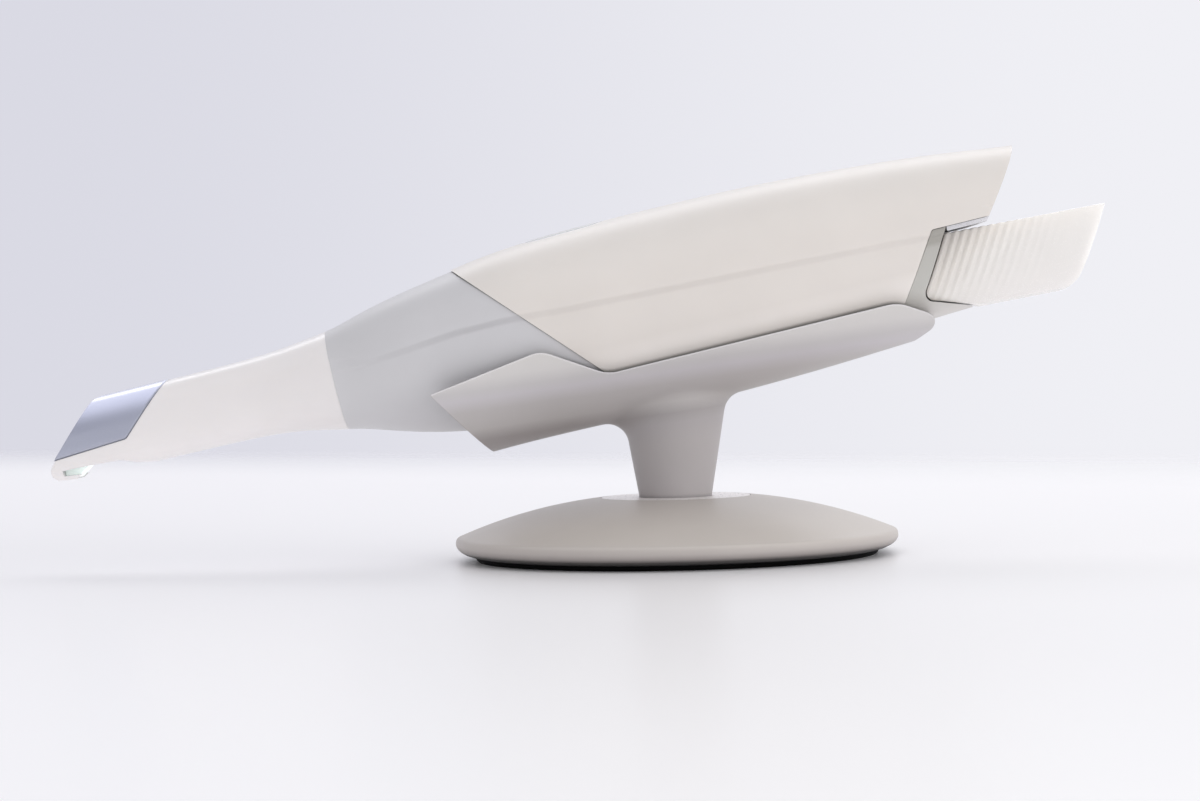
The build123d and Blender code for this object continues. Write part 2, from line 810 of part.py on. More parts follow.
def raked(x, y=0):
    """Sketch plane leaning back with the tail: sketch X to +Y, sketch Y up along the rake."""
    normal = handset.x_dir * sin(radians(rake)) - handset.z_dir * cos(radians(rake))
    return Plane(origin=handset.from_local_coords((x, y, 0)), x_dir=handset.y_dir, z_dir=normal)


def grip_section(run, depth, inset):
    """One raked section of the grip: flat top, soft edges and a rounded keel."""
    stretch = 1 / sin(radians(rake))
    half_width = battery_half_width - taper_share * run - depth - inset
    top = (battery_top - top_fall_share * run - inset - depth / 2) * stretch
    bottom = (keel_front - keel_rise_share * run + inset) * stretch
    edge = flute_pitch / 2
    fullness = body_shares[-1][-1]
    pull = fullness * (top - edge - bottom)
    with BuildSketch(raked(battery_front + run)) as section:
        with BuildLine():
            Line((0, top), (half_width - edge, top))
            Bezier((half_width - edge, top), (half_width, top), (half_width, top), (half_width, top - edge))
            Bezier((half_width, top - edge), (half_width, top - edge - pull),
                   (fullness * half_width, bottom), (0, bottom))
            mirror(about=Plane.YZ)
        make_face()
    return section.sketch


grip_steps = range(-2 * flute_lead, int(2 * battery_length / flute_pitch) + 2 * flute_lead)


def ripple(step):
    """Depth of the grip's surface at a half pitch: every other one dips, less and less to the rear."""
    return flute_depth * (step % 2) * min(1, max(0, 1 - step / (2 * flute_count)))


with BuildPart() as grip_outside:
    loft([grip_section(step * flute_pitch / 2, ripple(step), 0) for step in grip_steps])

with BuildPart() as grip_inside:
    loft([grip_section(share * battery_length, 0, battery_wall) for share in grip_station_shares])

grip_keel = body_height * grip_keel_share
grip_outline = [
    *[(x + slide_gap * 3 / 2, z + slide_gap / 2) for x, z in frame[:4]],
    (battery_front + battery_length + grip_keel * rake_slope, grip_keel),
    (battery_front + battery_length + deck_height * rake_slope, deck_height),
]
grip_corners = (0, frame_corner, frame_corner, 0, battery_length * grip_corner_share, 0)
with BuildPart() as grip_hollow:
    with BuildSketch(side()):
        with BuildLine():
            FilletPolyline(*grip_outline, radius=grip_corners, close=True)
        make_face()
        offset(amount=-battery_wall, kind=Kind.INTERSECTION)
    extrude(amount=overrun, both=True)
    add(grip_inside.part, mode=Mode.INTERSECT)

plug_middle = (plug_bottom + plug_top) / 2
plug_height = plug_top - plug_bottom
plug_back = battery_front + battery_length - battery_wall
with BuildPart() as battery_case:
    add(prism(grip_outline, radius=grip_corners))
    add(grip_outside.part, mode=Mode.INTERSECT)
    add(grip_hollow.part, mode=Mode.SUBTRACT)
    with BuildSketch(across(plug_front, 0, plug_middle)):
        RectangleRounded(plug_width + 2 * seat_gap, plug_height + 2 * seat_gap, plug_radius)
    extrude(amount=plug_back - plug_front, mode=Mode.SUBTRACT)

cell_height = plug_height - 2 * plug_wall - 2 * seat_gap
cell_width = plug_width / 2 - plug_wall - 2 * seat_gap
cell_front = plug_front + plug_wall + 2 * board_thickness
with BuildPart() as battery_carrier:
    with BuildSketch(across(plug_front, 0, plug_middle)):
        RectangleRounded(plug_width, plug_height, plug_radius)
    extrude(amount=plug_back - plug_front)
    with BuildSketch(across(plug_front + plug_wall, 0, plug_middle)):
        RectangleRounded(plug_width - 2 * plug_wall, plug_height - 2 * plug_wall, plug_radius - plug_wall)
    extrude(amount=overrun, mode=Mode.SUBTRACT)
    with BuildSketch(across(plug_front, 0, plug_middle)):
        with Locations(*pin_places):
            Rectangle(contact_width + 2 * seat_gap, 2 * contact_width + 2 * seat_gap)
    extrude(amount=plug_wall, mode=Mode.SUBTRACT)

with BuildPart() as battery_contacts:
    with BuildSketch(across(plug_front, 0, plug_middle)):
        with Locations(*pin_places):
            Rectangle(contact_width, 2 * contact_width)
    extrude(amount=plug_wall)

with BuildPart() as battery_board:
    with BuildSketch(across(plug_front + plug_wall, 0, plug_middle)):
        RectangleRounded(2 * cell_width, cell_height, plug_radius - plug_wall)
    extrude(amount=board_thickness)


def cell(y):
    """One flat cell with rounded long edges."""
    with BuildPart() as body:
        with BuildSketch(across(cell_front, y, plug_middle)):
            RectangleRounded(cell_width, cell_height, plug_radius - plug_wall)
        extrude(amount=plug_back - cell_front)
    return body.part


with BuildPart() as battery_cell_left:
    add(cell(cell_width / 2 + seat_gap))

with BuildPart() as battery_cell_right:
    add(cell(-cell_width / 2 - seat_gap))


# Stand: a cradle moulded with its conical stem, on a weighted round base
def cradle_form(inset):
    """The trough's form: the body's own from its middle back, and straight from there forward."""
    middle = body_shares[5]
    rows = [(share, *middle[1:]) for share in cradle_lead_shares] + [*body_shares[5:]]
    with BuildPart() as form:
        loft([body_section(row, inset) for row in rows])
    return form.part


stem_foot = base_top - base_wall
stem_top = seat_height + stem_fillet
stem_slope = tan(radians(stem_flare))
with BuildPart() as cradle:
    add(prism([at(along, up) for along, up, _ in cradle_share],
              radius=[corner * body_height for _, _, corner in cradle_share]))
    add(cradle_form(-cradle_fit - cradle_wall), mode=Mode.INTERSECT)
    with BuildSketch(Plane.XZ):
        with BuildLine():
            Polyline(
                (0, stem_foot), (stem_low_radius, stem_foot), (stem_low_radius, stem_low_z),
                (stem_low_radius + (stem_top - stem_low_z) * stem_slope, stem_top), (0, stem_top), close=True,
            )
        make_face()
    revolve(axis=Axis.Z)
    fillet(cradle.edges().filter_by(GeomType.BSPLINE).filter_by(lambda edge: edge.is_closed), stem_fillet)
    add(cradle_form(-cradle_fit), mode=Mode.SUBTRACT)
    with BuildSketch(Plane.XY.offset(stem_foot)):
        Circle(bolt_radius)
    extrude(amount=stem_low_z, mode=Mode.SUBTRACT)


# Base: a dome shell with an inset disc round the stem, a steel weight, a rubber foot and one bolt
disc_seat = base_top - disc_thickness - seat_gap
rim_inside = foot_radius + seat_gap
crease = (base_radius - rim_bevel, base_rim_height + rim_rise)


def dome_height(radius, drop):
    """Height of the dome at a radius, on the arc from the crease to the disc."""
    share = (radius - disc_radius) / (crease[0] - disc_radius)
    return base_top - drop - (base_top - crease[1]) * share - dome_rise * 4 * share * (share - 1)


def dome_arc(drop, inner, outer):
    middle = (inner + outer) / 2
    return ThreePointArc(*[(radius, dome_height(radius, drop)) for radius in (outer, middle, inner)])


with BuildPart() as base_cap:
    with BuildSketch(Plane.XZ):
        with BuildLine():
            hollow_radius = foot_radius - foot_rebate
            rebate_top = foot_thickness + seat_gap
            arc = dome_arc(0, disc_radius + seat_gap, crease[0])
            under = dome_arc(base_wall, disc_radius, hollow_radius)
            Polyline(arc @ 1, (disc_radius + seat_gap, disc_seat), (stem_low_radius + seat_gap, disc_seat),
                     (stem_low_radius + seat_gap, stem_foot), (disc_radius, stem_foot), under @ 1)
            Polyline(under @ 0, (hollow_radius, rebate_top), (rim_inside, rebate_top), (rim_inside, rim_low))
            Bezier((rim_inside, rim_low), (base_radius - rim_bevel, rim_low + rim_bevel / 2),
                   (base_radius, base_rim_height - rim_bevel), (base_radius, base_rim_height))
            Bezier((base_radius, base_rim_height), (base_radius, crease[1] - rim_bevel / 4), crease)
        make_face()
    revolve(axis=Axis.Z)

with BuildPart() as base_disc:
    with BuildSketch(Plane.XY.offset(disc_seat)):
        Circle(disc_radius)
        Circle(stem_low_radius + seat_gap, mode=Mode.SUBTRACT)
    extrude(amount=disc_thickness + seat_gap)
    chamfer(base_disc.edges().filter_by(GeomType.CIRCLE).sort_by(Axis.Z)[-2:], seat_gap * 2)

washer_seat = foot_thickness + bolt_head_height + washer_thickness
with BuildPart() as base_weight:
    with BuildSketch(Plane.XY.offset(foot_thickness)):
        Circle(weight_radius)
    extrude(amount=weight_thickness)
    chamfer(base_weight.edges().filter_by(GeomType.CIRCLE), washer_thickness)
    with BuildSketch(Plane.XY.offset(foot_thickness)):
        Circle(stem_low_radius + base_wall)
    extrude(amount=stem_foot - foot_thickness)
    with BuildSketch(Plane.XY.offset(foot_thickness)):
        Circle(head_bore_radius)
    extrude(amount=washer_seat - foot_thickness, mode=Mode.SUBTRACT)
    with BuildSketch(Plane.XY.offset(foot_thickness)):
        Circle(bolt_radius + seat_gap)
    extrude(amount=stem_foot, mode=Mode.SUBTRACT)

with BuildPart() as foot_pad:
    with BuildSketch(Plane.XY):
        Circle(foot_radius)
    extrude(amount=foot_thickness)
    chamfer(foot_pad.edges().filter_by(GeomType.CIRCLE).sort_by(Axis.Z)[0], foot_thickness / 4)

with BuildPart() as stand_washer:
    with BuildSketch(Plane.XY.offset(washer_seat - washer_thickness)):
        Circle(washer_radius)
        Circle(bolt_radius + seat_gap, mode=Mode.SUBTRACT)
    extrude(amount=washer_thickness)

with BuildPart() as stand_bolt:
    with BuildSketch(Plane.XY.offset(foot_thickness + seat_gap)):
        Circle(bolt_head_radius)
        RegularPolygon(bolt_head_radius / 2, 6, mode=Mode.SUBTRACT)
    extrude(amount=bolt_head_height - seat_gap)
    with BuildSketch(Plane.XY.offset(foot_thickness + bolt_head_height * 2 / 3)):
        Circle(bolt_radius - seat_gap)
    extrude(amount=stem_low_z + bolt_head_height)

pieces = {
    "sleeve_shell": sleeve_shell, "tip_cap": tip_cap, "tip_mirror": tip_mirror, "tip_window": tip_window,
    "front_housing": front_housing, "nose_tube": nose_tube, "front_window": front_window,
    "lens_barrel": lens_barrel, "objective_lens": objective_lens, "relay_lens": relay_lens,
    "field_lens": field_lens, "optics_block": optics_block, "beam_splitter": beam_splitter,
    "camera_board": camera_board, "image_sensor": image_sensor, "projector_lens": projector_lens,
    "projector_board": projector_board, "projector_lamp": projector_lamp, "chassis": chassis,
    "chassis_screws": chassis_screws, "rear_housing": rear_housing, "bay_pins": bay_pins,
    "bay_connector": bay_connector, "tail_plate": tail_plate, "top_shell": top_shell,
    "status_ring": status_ring, "scan_button": scan_button, "button_board": button_board,
    "button_switch": button_switch, "button_screws": button_screws, "main_board": main_board,
    "board_screws": board_screws, "processor_chip": processor_chip, "memory_chips": memory_chips,
    "heat_spreader": heat_spreader, "haptic_motor": haptic_motor, "antenna_board": antenna_board,
    "battery_case": battery_case, "battery_carrier": battery_carrier, "battery_contacts": battery_contacts,
    "battery_board": battery_board, "battery_cell_left": battery_cell_left,
    "battery_cell_right": battery_cell_right, "cradle": cradle, "base_cap": base_cap,
    "base_disc": base_disc, "base_weight": base_weight, "foot_pad": foot_pad,
    "stand_washer": stand_washer, "stand_bolt": stand_bolt,
}
os.makedirs("parts", exist_ok=True)
for name, piece in pieces.items():
    piece.part.label = name
    export_step(piece.part, f"parts/{name}.step")
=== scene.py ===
import json
from math import cos, radians, sin

import bpy
from mathutils import Euler, Matrix, Vector

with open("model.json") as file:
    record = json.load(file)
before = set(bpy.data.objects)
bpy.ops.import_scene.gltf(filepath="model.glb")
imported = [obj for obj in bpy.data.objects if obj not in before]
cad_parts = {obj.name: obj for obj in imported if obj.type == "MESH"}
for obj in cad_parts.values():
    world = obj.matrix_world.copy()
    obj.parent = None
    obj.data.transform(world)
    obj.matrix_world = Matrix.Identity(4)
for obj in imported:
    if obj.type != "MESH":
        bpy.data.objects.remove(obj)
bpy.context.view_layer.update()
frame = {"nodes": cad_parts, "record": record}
MM = 0.001
BLACK = (0.0, 0.0, 0.0, 1.0)
WHITE = (1.0, 1.0, 1.0, 1.0)

# The handset lies tilted, on a line that starts this high over the middle of the foot
HANDSET_TILT = radians(12.4)
HANDSET_HEIGHT = 41.5


def way(along, across):
    """A way in the handset's side view: a direction, and the millimetres at which it starts."""
    x = along * cos(HANDSET_TILT) - across * sin(HANDSET_TILT)
    z = along * sin(HANDSET_TILT) + across * cos(HANDSET_TILT)
    return x, 0.0, z, HANDSET_HEIGHT * z


ALONG = way(1.0, 0.0)
ACROSS = way(0.0, 1.0)
UPRIGHT = (0.0, 0.0, 1.0, 0.0)

# The belt line's height over the handset's length, and the soft step under it that gets painted shade, in
# millimetres
BELT = ((-82.5, 25.4), (-73.0, 27.4), (-61.4, 28.3), (-49.7, 29.3), (-37.6, 29.4), (-20.1, 28.4), (0.0, 27.5),
        (60.0, 24.9), (103.0, 22.2))
BELT_SPAN = 100.0
BELT_SHADE_TOP = (-0.2, -0.7)
BELT_SHADE_FOOT = (-2.4, -1.7)
BELT_SHADE_START = (-80.0, -55.0)

# Reach of the painted shade in seams and gaps, and the painted highlight's share and radius on upper rims, in
# millimetres
CREVICE_SHADE_REACH = 1.2
RIM_HIGHLIGHT_SHARE = 0.75
RIM_HIGHLIGHT_RADIUS = 0.8

# The photograph's camera: distance to the middle plane, the point it looks at, its dip and its roll
CAMERA_DISTANCE = 0.740
CAMERA_AIM = (-0.0188, 0.0, 0.0403)
CAMERA_DIP = 0.96
CAMERA_ROLL = 1.4
CAMERA_LENS = 86.6
SENSOR_WIDTH = 36.0

# Table: pale and glossy, with a far edge that runs slantwise behind the scanner and fades into the room; it
# glows a little, more towards the front, and sends a little more light up to the object
TABLE_TURN = -39.7
TABLE_EDGE = (0.30, 0.62)
TABLE_REACH = (0.9, 1.4)
TABLE_COLOUR = (243, 242, 245)
TABLE_ROUGH = 0.3
TABLE_GLOSS = 0.35
TABLE_GLOW = 0.03
TABLE_FRONT = (-0.10, -0.38)
TABLE_FRONT_GLOW = 0.06
TABLE_BOUNCE = 0.22

# Room: even soft light, a little stronger from the right and from the front
ROOM_LIGHT = 0.76
ROOM_LIGHT_RIGHT = 0.22
ROOM_LIGHT_BACK = -0.10

# Backdrop, as the camera and reflections see it: a plain blend from pale grey on the left to near white on the
# right, with a brighter ceiling and a darker side behind the camera
ROOM_EDGES = (-0.21, 0.21)
ROOM_LEFT = (218, 218, 228)
ROOM_RIGHT = (240, 240, 245)
CEILING_RISE = (0.13, 0.9)
CEILING_GAIN = 1.15
FRONT_RISE = (0.2, -0.8)
FRONT_GAIN = -0.3

# Painted shade and light by place in millimetres, standing in for the room's light: shell and tail from the belly
# up, cradle from its belly up and back, base from the table up, battery from its front top edge down and back
STAND_SHADE_WAY = way(0.1, 1.0)
BATTERY_SHADE_WAY = way(0.55, -0.83)
# Shell: painted light just above the cradle's edge, against the shade there, and lighter towards the top
SHELL_PAINTED_SHADING = ((9.0, (237, 232, 228)), (16.0, (222, 216, 211)), (30.0, (224, 218, 213)), (50.0, (228, 223, 219)))
# Tail: darker at its top, a painted shadow under the shell's overhang, and lighter towards the bottom
TAIL_PAINTED_SHADING = ((4.0, (206, 202, 199)), (12.0, (187, 186, 181)), (20.4, (181, 179, 174)), (21.6, (163, 160, 154)))
# Cradle: painted shade on its belly, and painted light towards its top and back
STAND_PAINTED_SHADING = (
    (-12.0, (176, 171, 171)), (-7.0, (172, 167, 168)), (-4.5, (163, 158, 158)), (-1.5, (184, 180, 179)),
    (3.0, (183, 179, 179)), (6.0, (194, 190, 194)), (8.0, (193, 190, 191)), (11.0, (206, 203, 202)),
    (14.0, (208, 205, 203)),
)
# Base: nearly black near the table, a painted shade round the foot, and painted light on the lower shoulder
BASE_PAINTED_SHADING = (
    (1.0, (38, 36, 36)), (2.2, (70, 66, 65)), (3.0, (150, 143, 140)), (4.2, (178, 171, 167)),
    (6.5, (198, 191, 185)), (10.0, (197, 190, 184)), (15.0, (187, 180, 175)), (20.0, (181, 174, 170)),
)
# Battery: darker at its front top edge, a painted shadow of the overhang above it
BATTERY_PAINTED_SHADING = (
    (22.0, (186, 181, 176)), (26.0, (210, 205, 199)), (29.0, (228, 222, 215)), (34.0, (242, 236, 230)),
    (40.0, (245, 239, 234)), (60.0, (247, 242, 238)),
)


def linear(r, g, b):
    """A display colour of 0 to 255 as the shader's linear colour."""
    parts = [c / 255 for c in (r, g, b)]
    return tuple(c / 12.92 if c <= 0.04045 else ((c + 0.055) / 1.055) ** 2.4 for c in parts) + (1.0,)


def scaled(colour, factor):
    """A linear colour made darker or lighter."""
    return tuple(min(1, c * factor) for c in colour[:3]) + (1.0,)


def math_node(tree, operation, first, second):
    """The result of a sum; each part is a number or another node's output."""
    node = tree.nodes.new("ShaderNodeMath")
    node.operation = operation
    for socket, value in zip(node.inputs, (first, second)):
        if isinstance(value, float):
            socket.default_value = value
        else:
            tree.links.new(value, socket)
    return node.outputs["Value"]


def smooth_step(tree, source, low, high):
    """A share that eases from 0 at low to 1 at high."""
    node = tree.nodes.new("ShaderNodeMapRange")
    node.interpolation_type = "SMOOTHSTEP"
    node.inputs["From Min"].default_value = low
    node.inputs["From Max"].default_value = high
    tree.links.new(source, node.inputs["Value"])
    return node.outputs["Result"]


def colour_ramp(tree, source, stops):
    """Colours along a factor; each stop is a place from 0 to 1 and a linear colour."""
    node = tree.nodes.new("ShaderNodeValToRGB")
    while len(node.color_ramp.elements) < len(stops):
        node.color_ramp.elements.new(0.5)
    for element, (place, colour) in zip(node.color_ramp.elements, stops):
        element.position = place
        element.color = colour
    tree.links.new(source, node.inputs["Fac"])
    return node.outputs["Color"]


def mix_colours(tree, factor, first, second):
    """Two colours mixed by a factor; each is a linear colour or another node's output."""
    node = tree.nodes.new("ShaderNodeMix")
    node.data_type = "RGBA"
    colours = [socket for socket in node.inputs if socket.type == "RGBA"]
    for socket, value in zip(colours, (first, second)):
        if isinstance(value, tuple):
            socket.default_value = value
        else:
            tree.links.new(value, socket)
    tree.links.new(factor, node.inputs["Factor"])
    return [socket for socket in node.outputs if socket.type == "RGBA"][0]


class Nodes:
    """A material's node tree with short calls to add and join nodes."""

    def __init__(self, name):
        self.material = bpy.data.materials.new(name)
        self.material.use_nodes = True
        self.tree = self.material.node_tree
        self.shader = self.tree.nodes["Principled BSDF"]
        self.output = self.tree.nodes["Material Output"]
        self.place = self.tree.nodes.new("ShaderNodeTexCoord").outputs["Object"]

    def add(self, kind, **values):
        """A new node with its settings."""
        node = self.tree.nodes.new(kind)
        for key, value in values.items():
            setattr(node, key, value)
        return node

    def join(self, source, target):
        """A link from an output to an input."""
        self.tree.links.new(source, target)

    def paint(self, **sources):
        """Links into the shader's sockets; in a socket's name an underscore stands for a space."""
        for key, source in sources.items():
            self.join(source, self.shader.inputs[key.replace("_", " ")])

    def put(self, **values):
        """Values on the shader's own sockets; in a socket's name an underscore stands for a space."""
        for key, value in values.items():
            self.shader.inputs[key.replace("_", " ")].default_value = value

    def noise(self, scale, detail=2.0, stretch=None):
        """Noise over the object; scale is in features per metre."""
        node = self.add("ShaderNodeTexNoise")
        node.inputs["Scale"].default_value = scale
        node.inputs["Detail"].default_value = detail
        source = self.place
        if stretch:
            mapping = self.add("ShaderNodeMapping")
            mapping.inputs["Scale"].default_value = stretch
            self.join(source, mapping.inputs["Vector"])
            source = mapping.outputs["Vector"]
        self.join(source, node.inputs["Vector"])
        return node.outputs["Fac"]

    def spread(self, source, low, high, from_low=0.3, from_high=0.7):
        """A factor mapped to a range of values."""
        node = self.add("ShaderNodeMapRange")
        for key, value in (("From Min", from_low), ("From Max", from_high), ("To Min", low), ("To Max", high)):
            node.inputs[key].default_value = value
        self.join(source, node.inputs["Value"])
        return node.outputs["Result"]

    def mix(self, factor, first, second):
        """Two colours mixed by a factor."""
        return mix_colours(self.tree, factor, first, second)

    def maths(self, operation, first, second):
        """The result of a sum."""
        return math_node(self.tree, operation, first, second)

    def along(self, way):
        """How far a point lies along a way, in metres."""
        dot = self.add("ShaderNodeVectorMath", operation="DOT_PRODUCT")
        dot.inputs[1].default_value = way[:3]
        self.join(self.place, dot.inputs[0])
        return self.maths("SUBTRACT", dot.outputs["Value"], way[3] * MM)

    def curve(self, way, stops):
        """Colours or levels along a way; each stop is a place in millimetres and a linear colour."""
        low, high = stops[0][0], stops[-1][0]
        factor = self.spread(self.along(way), 0.0, 1.0, low * MM, high * MM)
        return colour_ramp(self.tree, factor, [((place - low) / (high - low), colour) for place, colour in stops])

    def belt_shade(self, share):
        """A share of painted shade, which darkens the soft step just under the handset's crease along its length.
        """
        levels = [(place, (height / BELT_SPAN,) * 3 + (1.0,)) for place, height in BELT]
        line = self.maths("MULTIPLY", self.curve(ALONG, levels), BELT_SPAN * MM)
        over = self.maths("SUBTRACT", self.along(ACROSS), line)
        upper = self.spread(over, 0.0, 1.0, BELT_SHADE_TOP[0] * MM, BELT_SHADE_TOP[1] * MM)
        lower = self.spread(over, 0.0, 1.0, BELT_SHADE_FOOT[0] * MM, BELT_SHADE_FOOT[1] * MM)
        begin = self.spread(self.along(ALONG), 0.0, share, BELT_SHADE_START[0] * MM, BELT_SHADE_START[1] * MM)
        return self.maths("MULTIPLY", self.maths("MULTIPLY", upper, lower), begin)

    def crevice_shade(self, share, reach):
        """A share of painted shade that grows where another surface is nearer than reach, in millimetres."""
        node = self.add("ShaderNodeAmbientOcclusion", samples=6)
        node.inputs["Distance"].default_value = reach * MM
        return self.spread(node.outputs["AO"], share, 0.0, 0.25, 0.8)

    def upper_edge_highlight(self, share, radius):
        """A share of painted highlight along edges whose rounding looks up; radius in millimetres."""
        turned = self.soft_edges(radius)
        dot = self.add("ShaderNodeVectorMath", operation="DOT_PRODUCT")
        self.join(turned, dot.inputs[0])
        self.join(self.add("ShaderNodeNewGeometry").outputs["Normal"], dot.inputs[1])
        axes = self.add("ShaderNodeSeparateXYZ")
        self.join(turned, axes.inputs["Vector"])
        return self.maths("MULTIPLY", self.spread(dot.outputs["Value"], share, 0.0, 0.88, 0.995),
                          self.spread(axes.outputs["Z"], 0.0, 1.0, -0.3, 0.0))

    def bump(self, source, height, strength=1.0, normal=None):
        """Normals of a fine relief; height in metres."""
        node = self.add("ShaderNodeBump")
        node.inputs["Distance"].default_value = height
        node.inputs["Strength"].default_value = strength
        self.join(source, node.inputs["Height"])
        if normal is not None:
            self.join(normal, node.inputs["Normal"])
        return node.outputs["Normal"]

    def soft_edges(self, radius):
        """Normals that turn smoothly round the piece's own edges; radius in millimetres."""
        node = self.add("ShaderNodeBevel", samples=4)
        node.inputs["Radius"].default_value = radius * MM
        return node.outputs["Normal"]


def moulded(name, colour, rough, grain=0.35, depth=0.004, vary=0.03, coat=0.0, edge=0.0, way=None, belt_shade=0.0,
            crevice_shade=0.0, rim_highlight=None, **sockets):
    """Moulded or lacquered surface: fine eroded grain, slight clouding of colour and gloss, and painted shade and
    light where asked.
    """
    made = Nodes(name)
    # With a way, the colour is a ramp of painted shade and light by place, given as stops
    base = made.curve(way, [(place, linear(*shade)) for place, shade in colour]) if way else linear(*colour)
    # Painted shade in the soft step under the belt line
    if belt_shade:
        base = made.mix(made.belt_shade(belt_shade), base, BLACK)
    # Painted shade where other surfaces come near: seams, gaps and contacts
    if crevice_shade:
        base = made.mix(made.crevice_shade(crevice_shade, CREVICE_SHADE_REACH), base, BLACK)
    # A painted highlight along upper edges
    if rim_highlight:
        base = made.mix(made.upper_edge_highlight(RIM_HIGHLIGHT_SHARE, RIM_HIGHLIGHT_RADIUS), base, linear(*rim_highlight))
    cloud = made.noise(60.0, 3.0)
    fine = made.noise(1 / (grain * MM), 3.0)
    edges = made.soft_edges(edge) if edge else None
    made.paint(Base_Color=made.mix(made.spread(cloud, 0.0, vary), base, BLACK),
               Roughness=made.spread(fine, rough - 0.04, rough + 0.05),
               Normal=made.bump(fine, depth * MM, 0.6, edges))
    if coat:
        made.put(Coat_Weight=coat, Coat_Roughness=0.12)
    made.put(Subsurface_Radius=(1.0, 0.9, 0.8), Subsurface_Scale=0.0015)
    made.put(**sockets)
    return made.material


def metal(name, colour, rough, stretch, depth=0.002, metallic=1.0):
    """Metal with fine lines or grain along one way."""
    made = Nodes(name)
    base = linear(*colour)
    lines = made.noise(900.0, 4.0, stretch)
    made.paint(Base_Color=made.mix(made.spread(lines, 0.0, 1.0), base, scaled(base, 0.88)),
               Roughness=made.spread(lines, rough - 0.05, rough + 0.07),
               Normal=made.bump(lines, depth * MM, 0.5))
    made.put(Metallic=metallic)
    return made.material


def lacquer(name, colour, rough, edge):
    """Smooth metallic lacquer with very fine flakes under a clear coat."""
    made = Nodes(name)
    base = linear(*colour)
    flakes = made.noise(7000.0, 2.0)
    made.paint(Base_Color=made.mix(made.spread(flakes, 0.0, 1.0), base, scaled(base, 0.92)),
               Roughness=made.spread(made.noise(90.0, 3.0), rough - 0.02, rough + 0.03),
               Normal=made.bump(flakes, 0.0001 * MM, 0.2, made.soft_edges(edge)))
    made.put(Metallic=0.7, Coat_Weight=1.0, Coat_Roughness=0.15, Coat_IOR=1.75)
    return made.material


def glass(name, colour, rough, clear, glow=0.0):
    """Coated glass with faint smears, and a glow that is painted light."""
    made = Nodes(name)
    smear = made.noise(140.0, 4.0)
    base = linear(*colour)
    made.paint(Base_Color=made.mix(made.spread(smear, 0.0, 1.0), base, scaled(base, 1.1)),
               Roughness=made.spread(smear, rough, rough + 0.06))
    made.put(Transmission_Weight=clear, Emission_Color=base, Emission_Strength=glow, IOR=1.5)
    return made.material


def circuit(name):
    """Green solder mask with copper tracks under it."""
    made = Nodes(name)
    cells = made.add("ShaderNodeTexVoronoi", distance="MANHATTAN", feature="DISTANCE_TO_EDGE")
    cells.inputs["Scale"].default_value = 420.0
    made.join(made.place, cells.inputs["Vector"])
    track = made.spread(cells.outputs["Distance"], 1.0, 0.0, 0.02, 0.06)
    made.paint(Base_Color=made.mix(track, linear(16, 92, 58), linear(70, 130, 72)),
               Roughness=made.spread(made.noise(800.0), 0.3, 0.42),
               Normal=made.bump(track, 0.02 * MM, 0.6))
    return made.material


